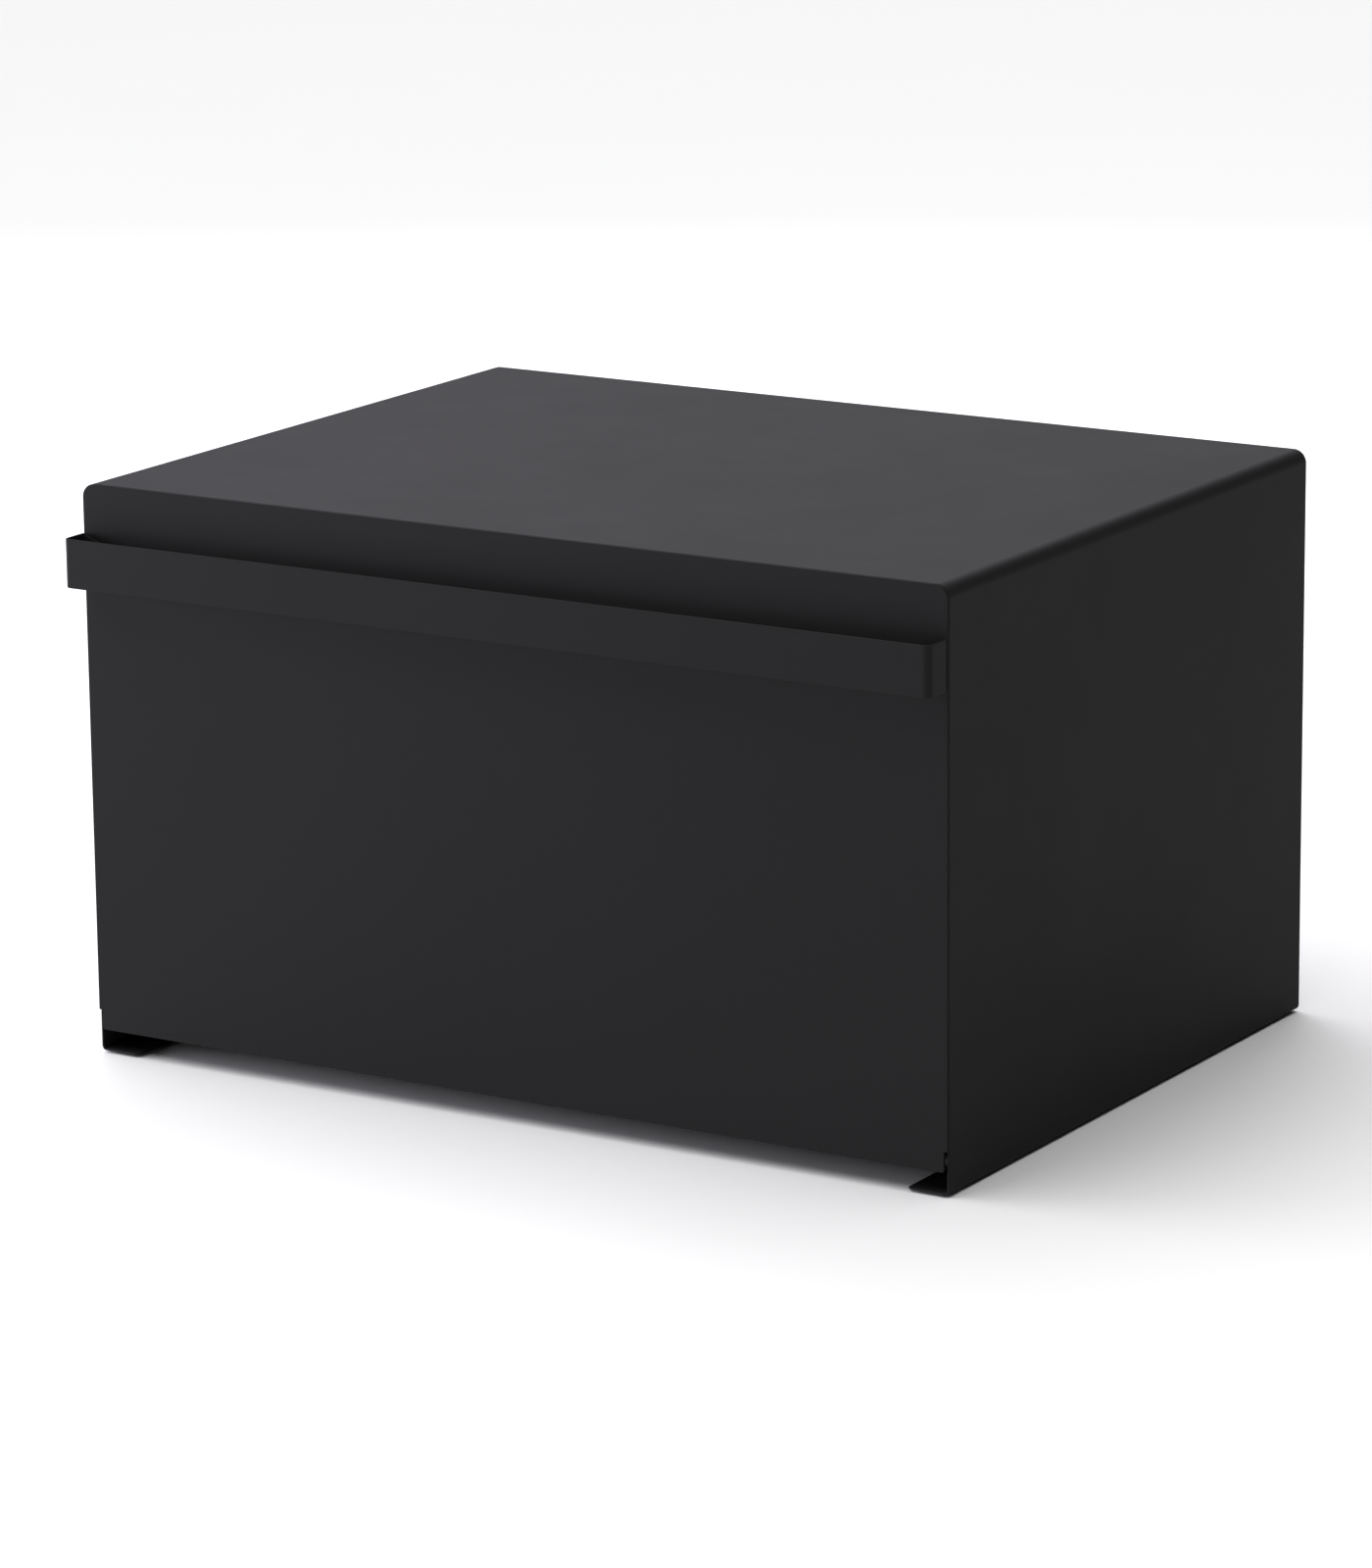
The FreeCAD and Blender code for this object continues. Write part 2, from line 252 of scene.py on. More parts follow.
class Value:
    """A shader socket that takes part in Python arithmetic."""

    def __init__(self, maker, socket):
        self.maker = maker
        self.socket = socket

    def __add__(self, other):
        return self.maker.math("ADD", self, other)

    def __radd__(self, other):
        return self.maker.math("ADD", other, self)

    def __sub__(self, other):
        return self.maker.math("SUBTRACT", self, other)

    def __rsub__(self, other):
        return self.maker.math("SUBTRACT", other, self)

    def __mul__(self, other):
        return self.maker.math("MULTIPLY", self, other)

    def __rmul__(self, other):
        return self.maker.math("MULTIPLY", other, self)


class Maker:
    """One material with a Principled shader, filled in by expressions."""

    def __init__(self, name, **constants):
        self.material = bpy.data.materials.new(name)
        self.material.use_nodes = True
        self.tree = self.material.node_tree
        self.tree.nodes.clear()
        self.shader = self.tree.nodes.new("ShaderNodeBsdfPrincipled")
        output = self.tree.nodes.new("ShaderNodeOutputMaterial")
        self.tree.links.new(self.shader.outputs[0], output.inputs["Surface"])
        self.feed(self.shader, constants)

    def feed(self, node, inputs):
        for key, value in inputs.items():
            socket = node.inputs[key.replace("_", " ") if isinstance(key, str) else key]
            if isinstance(value, Value):
                self.tree.links.new(value.socket, socket)
            else:
                socket.default_value = value

    def node(self, kind, settings=None, inputs=None, output=0):
        node = self.tree.nodes.new(kind)
        for key, value in (settings or {}).items():
            if key == "stops":
                for stop, (place, level) in zip(node.color_ramp.elements, value):
                    stop.position = place
                    stop.color = (level, level, level, 1)
            else:
                setattr(node, key, value)
        self.feed(node, inputs or {})
        return Value(self, node.outputs[output])

    def math(self, operation, first, second):
        return self.node("ShaderNodeMath", {"operation": operation}, {0: first, 1: second})

    def mix(self, factor, first, second):
        sockets = {0: factor, 6: (*first, 1), 7: (*second, 1)}
        return self.node("ShaderNodeMix", {"data_type": "RGBA"}, sockets, 2)

    def place(self):
        return self.node("ShaderNodeTexCoord", output="Object")

    def noise(self, place, scale, detail=2.0, roughness=0.5):
        sockets = {"Vector": place, "Scale": scale, "Detail": detail, "Roughness": roughness}
        return self.node("ShaderNodeTexNoise", None, sockets)

    def ramp(self, value, low, high):
        return self.node("ShaderNodeValToRGB", {"stops": ((low, 0.0), (high, 1.0))}, {"Fac": value})

    def bump(self, height, strength, distance):
        sockets = {"Height": height, "Strength": strength, "Distance": distance}
        return self.node("ShaderNodeBump", None, sockets)

    def surface(self, **inputs):
        self.feed(self.shader, inputs)
        return self.material


def shade(colour, factor):
    return tuple(min(1.0, channel * factor) for channel in colour)


def powder_coat(colours):
    """Fine-texture matte powder coat: orange peel, fine grain and faint mottling."""
    made = Maker("powder_coat", Specular_IOR_Level=0.1, IOR=1.5)
    place = made.place()
    mottle = made.noise(place, 9.0, 3.0)
    cloud = made.noise(place, 45.0, 2.0)
    peel = made.noise(place, 520.0, 2.0, 0.55)
    grain = made.noise(place, 1500.0, 2.0, 0.6)
    specks = made.ramp(grain, 0.60, 0.74)
    tone = 0.1 + 0.35 * mottle + 0.15 * cloud + 0.3 * grain
    colour = made.mix(tone, shade(colours.coat, 0.72), shade(colours.coat, 1.3))
    rough = (colours.coat_roughness - 0.09) + 0.08 * mottle + 0.05 * cloud + 0.06 * specks
    relief = 0.6 * peel + 0.4 * grain
    normal = made.bump(relief, 0.22, 0.00012)
    return made.surface(Base_Color=colour, Roughness=rough, Normal=normal)


def zinc_plate(colours):
    """Black-passivated zinc with faint cloudy passivation and fine tumbling scratches."""
    made = Maker("zinc_plate", Metallic=1.0)
    place = made.place()
    cloud = made.noise(place, 420.0, 3.0)
    scratch = made.noise(place, 2600.0, 2.0, 0.7)
    colour = made.mix(cloud, shade(colours.zinc, 0.78), shade(colours.zinc, 1.12))
    rough = 0.26 + 0.16 * cloud + 0.06 * scratch
    normal = made.bump(scratch, 0.15, 0.00004)
    return made.surface(Base_Color=colour, Roughness=rough, Normal=normal)


def nylon_plastic(colours):
    """Smooth black nylon."""
    made = Maker("nylon", Subsurface_Weight=0.08, IOR=1.52)
    place = made.place()
    cloud = made.noise(place, 300.0, 2.0)
    grain = made.noise(place, 2400.0, 2.0)
    colour = made.mix(cloud, shade(colours.nylon, 0.92), shade(colours.nylon, 1.05))
    rough = 0.42 + 0.1 * cloud
    normal = made.bump(grain, 0.1, 0.00004)
    return made.surface(Base_Color=colour, Roughness=rough, Normal=normal)


def moulded_plastic(colours):
    """Spark-eroded mould texture on black plastic."""
    made = Maker("case_plastic", Specular_IOR_Level=0.25, IOR=1.5)
    place = made.place()
    cloud = made.noise(place, 60.0, 2.0)
    grain = made.noise(place, 1800.0, 3.0, 0.6)
    colour = made.mix(cloud, shade(colours.case_plastic, 0.8), shade(colours.case_plastic, 1.3))
    rough = 0.46 + 0.1 * cloud + 0.06 * grain
    normal = made.bump(grain, 0.25, 0.00006)
    return made.surface(Base_Color=colour, Roughness=rough, Normal=normal)


def sintered_ferrite(colours):
    """Dull grey ceramic with small pits."""
    made = Maker("ferrite", Metallic=0.35)
    place = made.place()
    grain = made.noise(place, 1400.0, 4.0, 0.7)
    pits = made.ramp(grain, 0.30, 0.44)
    colour = made.mix(pits, shade(colours.ferrite, 0.45), shade(colours.ferrite, 1.15))
    rough = 0.72 - 0.14 * pits
    normal = made.bump(pits, 0.3, 0.00006)
    return made.surface(Base_Color=colour, Roughness=rough, Normal=normal)


def pad_rubber(colours):
    """Dry black rubber."""
    made = Maker("pad_rubber", IOR=1.5)
    place = made.place()
    cloud = made.noise(place, 120.0, 2.0)
    grain = made.noise(place, 1600.0, 3.0, 0.65)
    colour = made.mix(cloud, shade(colours.rubber, 0.75), shade(colours.rubber, 1.5))
    rough = 0.78 + 0.12 * grain
    normal = made.bump(grain, 0.3, 0.00008)
    return made.surface(Base_Color=colour, Roughness=rough, Normal=normal)


def studio_floor(colours):
    """Pale seamless paper with a barely visible tooth."""
    made = Maker("studio_floor", Specular_IOR_Level=0.2)
    place = made.place()
    cloud = made.noise(place, 1.5, 2.0)
    tooth = made.noise(place, 300.0, 2.0)
    colour = made.mix(cloud, shade(colours.floor, 0.985), shade(colours.floor, 1.01))
    rough = 0.8 + 0.08 * tooth
    return made.surface(Base_Color=colour, Roughness=rough)


FINISHES = {
    "powder_coat_black": powder_coat,
    "zinc_steel": zinc_plate,
    "nylon": nylon_plastic,
    "black_plastic": moulded_plastic,
    "ferrite": sintered_ferrite,
    "rubber": pad_rubber,
    "floor": studio_floor,
}
_made = {}


def finish_of(slot):
    """The material of a slot, made the first time that it is asked for."""
    if slot not in _made:
        _made[slot] = FINISHES[slot](bpy.context.scene.bin_colours)
    return _made[slot]


# ----------------------------------------------------------------- modelling

def deselect_all():
    """Go to object mode with nothing selected."""
    if bpy.context.object and bpy.context.object.mode != "OBJECT":
        bpy.ops.object.mode_set(mode="OBJECT")
    bpy.ops.object.select_all(action="DESELECT")


def take(name):
    """Name the primitive just added, apply its place and go into edit mode."""
    piece = bpy.context.object
    piece.name = name
    bpy.ops.object.transform_apply(location=True, rotation=True, scale=True)
    bpy.ops.object.mode_set(mode="EDIT")
    return piece


def block(name, low, high):
    """A block between two corners, left in edit mode."""
    deselect_all()
    low, high = Vector(low), Vector(high)
    bpy.ops.mesh.primitive_cube_add(size=1, location=(low + high) / 2, scale=high - low)
    return take(name)


def disc(name, radius, depth, centre, turn, sides=48):
    """A round block about a centre, left in edit mode. turn is its rotation."""
    deselect_all()
    bpy.ops.mesh.primitive_cylinder_add(
        vertices=sides, radius=radius, depth=depth, location=centre, rotation=turn)
    return take(name)


def middle(item):
    """The middle of a corner, an edge or a face."""
    if isinstance(item, bmesh.types.BMVert):
        return item.co
    if isinstance(item, bmesh.types.BMEdge):
        return (item.verts[0].co + item.verts[1].co) / 2
    return item.calc_center_median()


def pick(piece, kind, test):
    """Select only the corners, edges or faces that pass the test."""
    bpy.ops.mesh.select_mode(type=kind)
    bpy.ops.mesh.select_all(action="DESELECT")
    work = bmesh.from_edit_mesh(piece.data)
    items = {"VERT": work.verts, "EDGE": work.edges, "FACE": work.faces}[kind]
    for item in items:
        if test(item):
            item.select_set(True)
    bmesh.update_edit_mesh(piece.data)


def at(value, target):
    return abs(value - target) < NEAR


def lies(item, far=None, **places):
    """True if the item's middle has these coordinates. far is its distance from the middle plane."""
    spot = middle(item)
    if far is not None and not at(abs(spot.x), far):
        return False
    return all(at(getattr(spot, axis), place) for axis, place in places.items())


def extrude(move):
    bpy.ops.mesh.extrude_region_move(TRANSFORM_OT_translate={"value": move, "orient_type": "GLOBAL"})


def push(distance, axis):
    """Extrude the selected faces along an axis."""
    extrude([distance if name == axis else 0 for name in "xyz"])


def reach(place):
    """Distance from the pivot line."""
    return math.hypot(place.y - PIVOT.y, place.z - PIVOT.z)


def ring(name, outer, x, waist=None):
    """A flat ring round the stud that faces +X, left in edit mode."""
    deselect_all()
    bpy.ops.mesh.primitive_circle_add(
        vertices=48, radius=outer, fill_type="NGON", location=(x, PIVOT.y, PIVOT.z), rotation=ACROSS)
    piece = take(name)
    pick(piece, "FACE", lambda f: f.normal.x < 0)
    bpy.ops.mesh.flip_normals()
    bpy.ops.mesh.select_all(action="SELECT")
    if waist:
        bpy.ops.mesh.inset(thickness=outer - waist)
    bpy.ops.mesh.inset(thickness=(waist or outer) - STUD_RADIUS)
    bpy.ops.mesh.delete(type="FACE")
    return piece


def spread(first, last, count):
    """Evenly spaced places from first to last."""
    return [first + (last - first) * i / (count - 1) for i in range(count)]


def spans(edge, low, high, axis):
    """True if the edge's two ends are at these two places along an axis."""
    ends = sorted(getattr(v.co, axis) for v in edge.verts)
    return at(ends[0], low) and at(ends[1], high)


def join_flats():
    """Join neighbouring faces that lie in one plane."""
    bpy.ops.mesh.select_all(action="SELECT")
    bpy.ops.mesh.dissolve_limited(angle_limit=math.radians(0.5))


def drop_faces(piece, test):
    pick(piece, "FACE", test)
    bpy.ops.mesh.delete(type="FACE")


def cut(axis, *places):
    """Cut the faces through, square to an axis at each place along it."""
    normal = Vector([float(name == axis) for name in "xyz"])
    for place in places:
        bpy.ops.mesh.select_all(action="SELECT")
        bpy.ops.mesh.bisect(plane_co=normal * place, plane_no=normal, use_fill=False)


def pull(piece, kind, test, move):
    """Extrude what passes the test by a vector."""
    pick(piece, kind, test)
    extrude(move)


def fold(piece, test, radius, steps):
    pick(piece, "EDGE", test)
    bpy.ops.mesh.bevel(offset=radius, segments=steps, affect="EDGES", clamp_overlap=False)


def round_corner(piece, test, radius, steps):
    pick(piece, "VERT", test)
    bpy.ops.mesh.bevel(offset=radius, segments=steps, affect="VERTICES", clamp_overlap=False)


def apply_modifier(piece, name, kind, **settings):
    bpy.ops.object.mode_set(mode="OBJECT")
    modifier = piece.modifiers.new(name, kind)
    for key, value in settings.items():
        setattr(modifier, key, value)
    bpy.ops.object.modifier_apply(modifier=name)


def thicken(piece, thickness):
    """Give an open surface its thickness, on the side away from its normals."""
    bpy.ops.mesh.select_mode(type="VERT")
    bpy.ops.mesh.select_all(action="SELECT")
    bpy.ops.mesh.remove_doubles(threshold=MERGE_DISTANCE)
    apply_modifier(piece, "thickness", "SOLIDIFY", thickness=thickness, offset=-1.0,
                   use_even_offset=True)


def soften(piece, radius, angle=FOLDED_ANGLE):
    """Round the edges that are sharper than the angle, then shade flats flat and folds smooth."""
    apply_modifier(piece, "edges", "BEVEL", width=radius, segments=2, limit_method="ANGLE",
                   angle_limit=angle, use_clamp_overlap=False)
    bpy.ops.object.shade_smooth()
    apply_modifier(piece, "normals", "WEIGHTED_NORMAL", keep_sharp=True)


def deliver(piece, body, slot, *nodes):
    """Give a finished piece its material, its body and the CAD nodes that it stands for."""
    deselect_all()
    piece.data.materials.clear()
    piece.data.materials.append(finish_of(slot))
    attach(piece, body)
    if nodes:
        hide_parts(*nodes)


def finish_sheet(piece, sizes, body, node):
    """Thicken, soften and deliver a coated sheet that stands for one node."""
    thicken(piece, SHEET)
    soften(piece, sizes.edge_round)
    deliver(piece, body, "powder_coat_black", node)


def copy_piece(piece, name, shift=(0, 0, 0), mirror_x=False):
    """A copy with its own mesh, moved or mirrored about the middle plane."""
    deselect_all()
    twin = bpy.data.objects.new(name, piece.data.copy())
    bpy.context.scene.collection.objects.link(twin)
    twin.select_set(True)
    bpy.context.view_layer.objects.active = twin
    if mirror_x:
        bpy.ops.transform.mirror(constraint_axis=(True, False, False), center_override=(0, 0, 0))
    bpy.ops.transform.translate(value=shift)
    bpy.ops.object.transform_apply(location=True, rotation=True, scale=True)
    if mirror_x:
        bpy.ops.object.mode_set(mode="EDIT")
        bpy.ops.mesh.select_all(action="SELECT")
        bpy.ops.mesh.normals_make_consistent(inside=False)
        bpy.ops.object.mode_set(mode="OBJECT")
    return twin


def deliver_pairs(*pieces):
    """Mirror each right-hand piece of the case to the left, and deliver both."""
    for piece, node, slot in pieces:
        twin = copy_piece(piece, piece.name.replace("right", "left"), mirror_x=True)
        deliver(piece, "case", slot, node + "_right")
        deliver(twin, "case", slot, node + "_left")


# ----------------------------------------------------------------- operators

class BIN_OT_shell(bpy.types.Operator):
    """Fold the top, sides and foot flanges from one sheet"""

    bl_idname = "bin.shell"
    bl_label = "Shell"

    def execute(self, context):
        sizes = context.scene.bin_sizes
        half = SHELL_HIGH.x
        piece = block("shell_sheet", SHELL_LOW, SHELL_HIGH)
        drop_faces(piece, lambda f: abs(f.normal.y) > FACING or f.normal.z < -FACING)
        for _, side in SIDES:
            pull(piece, "EDGE", lambda e: lies(e, x=side * half, z=SHELL_LOW.z),
                 (-side * sizes.foot_width, 0, 0))
        fold(piece, lambda e: lies(e, far=half, z=SHELL_HIGH.z), sizes.top_bend, sizes.fold_steps)
        fold(piece, lambda e: lies(e, far=half, z=SHELL_LOW.z), sizes.foot_bend, sizes.fold_steps)
        round_corner(piece, lambda v: lies(v, far=half - sizes.foot_width, z=SHELL_LOW.z),
                     sizes.foot_corner, sizes.fold_steps)
        finish_sheet(piece, sizes, "case", "shell")
        return {"FINISHED"}


class BIN_OT_back_panel(bpy.types.Operator):
    """Fold the back panel, with bend reliefs beside its four flanges"""

    bl_idname = "bin.back_panel"
    bl_label = "Back panel"

    def execute(self, context):
        sizes = context.scene.bin_sizes
        low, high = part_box("back_panel")
        half = high.x
        span = half - sizes.panel_relief
        slot = span + SLOT_WIDTH
        deep = half - SLOT_DEPTH
        flange_low = low.z + BACK_FLANGE_RISE
        flange_high = high.z - sizes.panel_relief
        strip_low = low.z + sizes.panel_bend
        piece = block("back_sheet", low, high)
        drop_faces(piece, lambda f: f.normal.y < FACING)
        cut("x", span, -span, slot, -slot, deep, -deep)
        cut("z", strip_low, strip_low + SLOT_WIDTH, flange_low - SLOT_WIDTH, flange_low,
            flange_high, flange_high + SLOT_WIDTH, high.z - SLOT_DEPTH)

        def is_slot(f):
            x = abs(middle(f).x)
            z = middle(f).z
            low_corner = x > span and z < strip_low
            beside_top = span < x < slot and (z > high.z - SLOT_DEPTH or z < strip_low + SLOT_WIDTH)
            beside_side = x > deep and (flange_low - SLOT_WIDTH < z < flange_low
                                        or flange_high < z < flange_high + SLOT_WIDTH)
            return low_corner or beside_top or beside_side

        def is_fold(e):
            upright = lies(e, far=half) and spans(e, flange_low, flange_high, "z")
            level = (lies(e, z=low.z) or lies(e, z=high.z)) and spans(e, -span, span, "x")
            return lies(e, y=high.y) and (upright or level)

        drop_faces(piece, is_slot)
        join_flats()
        for x in (-half, half):
            pull(piece, "EDGE", lambda e: lies(e, x=x) and spans(e, flange_low, flange_high, "z"),
                 (0, low.y - high.y, 0))
        for z in (low.z, high.z):
            pull(piece, "EDGE", lambda e: lies(e, y=high.y, z=z) and spans(e, -span, span, "x"),
                 (0, low.y - high.y, 0))
        fold(piece, is_fold, sizes.panel_bend, sizes.fold_steps // 2)
        round_corner(piece, lambda v: lies(v, far=half, z=high.z), sizes.top_bend - SHEET, sizes.fold_steps)
        finish_sheet(piece, sizes, "case", "back_panel")
        return {"FINISHED"}


class BIN_OT_floor_panel(bpy.types.Operator):
    """Fold the raised floor with its side and rear flanges and short front lip"""

    bl_idname = "bin.floor_panel"
    bl_label = "Floor panel"

    def execute(self, context):
        sizes = context.scene.bin_sizes
        low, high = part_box("floor_panel")
        half = high.x
        span = half - sizes.panel_relief
        wide_front = low.y + FLOOR_NOTCH
        wide_rear = high.y - sizes.panel_relief
        piece = block("floor_sheet", low, high)
        drop_faces(piece, lambda f: f.normal.z < FACING)
        cut("x", -span, span)
        cut("y", wide_front, wide_rear)
        drop_faces(piece, lambda f: abs(middle(f).x) > span and not wide_front < middle(f).y < wide_rear)
        join_flats()
        for x in (-half, half):
            pull(piece, "EDGE", lambda e: lies(e, x=x), (0, 0, low.z - high.z))
        pull(piece, "EDGE", lambda e: lies(e, y=low.y), (0, 0, -FLOOR_LIP))
        pull(piece, "EDGE", lambda e: lies(e, y=high.y), (0, 0, low.z - high.z))
        fold(piece, lambda e: lies(e, z=high.z) and (
            lies(e, far=half) or lies(e, y=low.y) or lies(e, y=high.y)),
             sizes.panel_bend, sizes.fold_steps // 2)
        finish_sheet(piece, sizes, "case", "floor_panel")
        return {"FINISHED"}


class BIN_OT_door_skin(bpy.types.Operator):
    """Cut the door's flat front, with its rounded top corners and notched foot"""

    bl_idname = "bin.door_skin"
    bl_label = "Door skin"

    def execute(self, context):
        sizes = context.scene.bin_sizes
        half = SKIN_HIGH.x
        tail = half - sizes.notch_width
        piece = block("door_front", SKIN_LOW, SKIN_HIGH)
        drop_faces(piece, lambda f: f.normal.y > -FACING)
        cut("z", sizes.notch_top)
        cut("x", -tail, tail)
        drop_faces(piece, lambda f: abs(middle(f).x) > tail and middle(f).z < sizes.notch_top)
        join_flats()
        round_corner(piece, lambda v: lies(v, far=half, z=SKIN_HIGH.z),
                     sizes.door_corner, sizes.fold_steps)
        round_corner(piece, lambda v: lies(v, far=tail, z=SKIN_LOW.z),
                     sizes.notch_corner, sizes.fold_steps // 2)
        finish_sheet(piece, sizes, "door", "door_skin")
        return {"FINISHED"}


class BIN_OT_door_liner(bpy.types.Operator):
    """Fold the pan behind the door skin, with its hooked top and pierced pivot ears"""

    bl_idname = "bin.door_liner"
    bl_label = "Door liner"

    def execute(self, context):
        sizes = context.scene.bin_sizes
        low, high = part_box("door_liner")
        half = high.x
        span = half - LINER_RELIEF
        inset = half - LINER_EAR_RELIEF
        flange_top = high.z - LINER_RELIEF
        piece = block("door_pan", (low.x, low.y, LINER_BOTTOM), high)
        drop_faces(piece, lambda f: f.normal.y > -FACING)
        cut("x", span, -span, inset, -inset)
        cut("z", EAR_ROOT, flange_top)
        drop_faces(piece, lambda f: abs(middle(f).x) > span and middle(f).z > flange_top
                   or abs(middle(f).x) > inset and middle(f).z < EAR_ROOT)
        join_flats()
        for x in (-half, half):
            pull(piece, "EDGE", lambda e: lies(e, x=x), (0, high.y - low.y, 0))
        pull(piece, "EDGE", lambda e: lies(e, z=high.z), (0, high.y - low.y, 0))
        pull(piece, "EDGE", lambda e: lies(e, y=high.y, z=high.z), (0, 0, -LINER_LIP))
        fold(piece, lambda e: lies(e, far=half, y=low.y) or lies(e, y=low.y, z=high.z)
             or lies(e, y=high.y, z=high.z), sizes.liner_bend, sizes.fold_steps // 2)
        for x in (-half, half):
            self.ear(piece, x, low, high, sizes)
        thicken(piece, sizes.liner_sheet)
        soften(piece, THIN_EDGE * sizes.edge_round)
        deliver(piece, "door", "powder_coat_black", "door_liner")
        return {"FINISHED"}

    def ear(self, piece, x, low, high, sizes):
        """Draw one side flange down into a rounded ear with the pivot hole through it."""
        boss = PIVOT.z - low.z
        pull(piece, "EDGE",
             lambda e: lies(e, x=x, z=EAR_ROOT) and middle(e).y > low.y + sizes.liner_bend,
             (0, 0, PIVOT.z - EAR_ROOT))
        pick(piece, "VERT", lambda v: lies(v, x=x, y=high.y, z=PIVOT.z))
        bpy.ops.transform.translate(value=(0, PIVOT.y + boss - high.y, 0))
        pick(piece, "VERT", lambda v: lies(v, x=x, z=PIVOT.z) and v.co.y < PIVOT.y)
        bpy.ops.transform.translate(value=(0, -sizes.liner_bend, 0))
        pull(piece, "EDGE", lambda e: lies(e, x=x, z=PIVOT.z), (0, 0, -boss))
        round_corner(piece, lambda v: lies(v, x=x, z=low.z), EAR_CORNER * boss, sizes.fold_steps)

        def in_ear(item):
            return lies(item, x=x) and middle(item).z < EAR_ROOT + NEAR

        pick(piece, "FACE", in_ear)
        bpy.ops.mesh.dissolve_faces()
        pick(piece, "FACE", in_ear)
        bpy.ops.mesh.delete(type="ONLY_FACE")
        bpy.ops.mesh.primitive_circle_add(
            vertices=32, radius=PIVOT_HOLE, location=(x, PIVOT.y, PIVOT.z), rotation=ACROSS)
        pick(piece, "EDGE", lambda e: in_ear(e) and len(e.link_faces) < 2)
        bpy.ops.mesh.fill(use_beauty=False)
        pick(piece, "FACE", lambda f: in_ear(f) and f.normal.x * x < 0)
        bpy.ops.mesh.flip_normals()


class BIN_OT_handle(bpy.types.Operator):
    """Fold the strip handle with its returns and welding tabs"""

    bl_idname = "bin.handle"
    bl_label = "Handle"

    def execute(self, context):
        sizes = context.scene.bin_sizes
        half = HANDLE_HIGH.x
        piece = block("handle_strip", HANDLE_LOW, HANDLE_HIGH)
        drop_faces(piece, lambda f: abs(f.normal.z) > FACING or f.normal.y > FACING)
        tab_end = half - sizes.handle_tab
        for _, side in SIDES:
            pull(piece, "EDGE", lambda e: lies(e, x=side * half, y=HANDLE_HIGH.y),
                 (-side * sizes.handle_tab, 0, 0))
            pick(piece, "VERT", lambda v: lies(v, x=side * tab_end, y=HANDLE_HIGH.y))
            bpy.ops.transform.resize(
                value=(1, 1, TAB_TAPER), center_override=(HANDLE_LOW + HANDLE_HIGH) / 2)
        fold(piece, lambda e: lies(e, far=half, y=HANDLE_LOW.y), sizes.handle_bend, sizes.fold_steps)
        fold(piece, lambda e: lies(e, far=half, y=HANDLE_HIGH.y), sizes.tab_bend, sizes.fold_steps // 2)
        finish_sheet(piece, sizes, "door", "door_handle")
        return {"FINISHED"}


class BIN_OT_pivots(bpy.types.Operator):
    """Turn the studs, washers and toothed push nuts of the two pivots"""

    bl_idname = "bin.pivots"
    bl_label = "Pivots"

    def execute(self, context):
        deliver_pairs(
            (self.stud(*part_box("pivot_stud_right")), "pivot_stud", "zinc_steel"),
            (self.washer(*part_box("pivot_washer_right")), "pivot_washer", "nylon"),
            (self.push_nut(*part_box("push_nut_right")), "push_nut", "zinc_steel"))
        return {"FINISHED"}

    def stud(self, low, high):
        """A flanged stud with a rounded end."""
        radius = (high.z - low.z) / 2
        base_end = high.x - STUD_BASE
        middle_x = (high.x + base_end) / 2
        piece = disc("pivot_stud_turned_right", radius, STUD_BASE, (middle_x, PIVOT.y, PIVOT.z), ACROSS)
        pick(piece, "FACE", lambda f: lies(f, x=base_end))
        bpy.ops.mesh.inset(thickness=radius - STUD_RADIUS)
        length = base_end - low.x
        for share in STUD_STEPS:
            push(-share * length, "x")
        pick(piece, "EDGE", lambda e: lies(e, x=low.x) and len(e.link_faces) == 2)
        bpy.ops.mesh.bevel(offset=STUD_END * STUD_RADIUS, segments=4, affect="EDGES")
        soften(piece, TURNED_EDGE, TURNED_ANGLE)
        return piece

    def washer(self, low, high):
        """A flat nylon ring."""
        radius = (high.z - low.z) / 2
        piece = ring("pivot_washer_turned_right", radius, high.x)
        thicken(piece, high.x - low.x)
        soften(piece, TURNED_EDGE, TURNED_ANGLE)
        return piece

    def push_nut(self, low, high):
        """A spring ring with a flat rim and six bent teeth that grip the stud."""
        radius = (high.z - low.z) / 2
        root = NUT_ROOT * radius
        sheet = NUT_SHEET * (high.x - low.x)
        piece = ring("push_nut_turned_right", radius, high.x, root)
        tooth = 2 * math.pi / TEETH

        def in_slot(f):
            place = middle(f) - Vector((high.x, PIVOT.y, PIVOT.z))
            angle = math.atan2(place.z, place.y) % tooth
            return place.length < root and angle < tooth / 4

        drop_faces(piece, in_slot)
        pick(piece, "VERT", lambda v: reach(v.co) < 0.5 * (STUD_RADIUS + root))
        bpy.ops.transform.translate(value=(low.x - high.x + sheet, 0, 0))
        thicken(piece, sheet)
        soften(piece, TOOTH_EDGE, TURNED_ANGLE)
        return piece


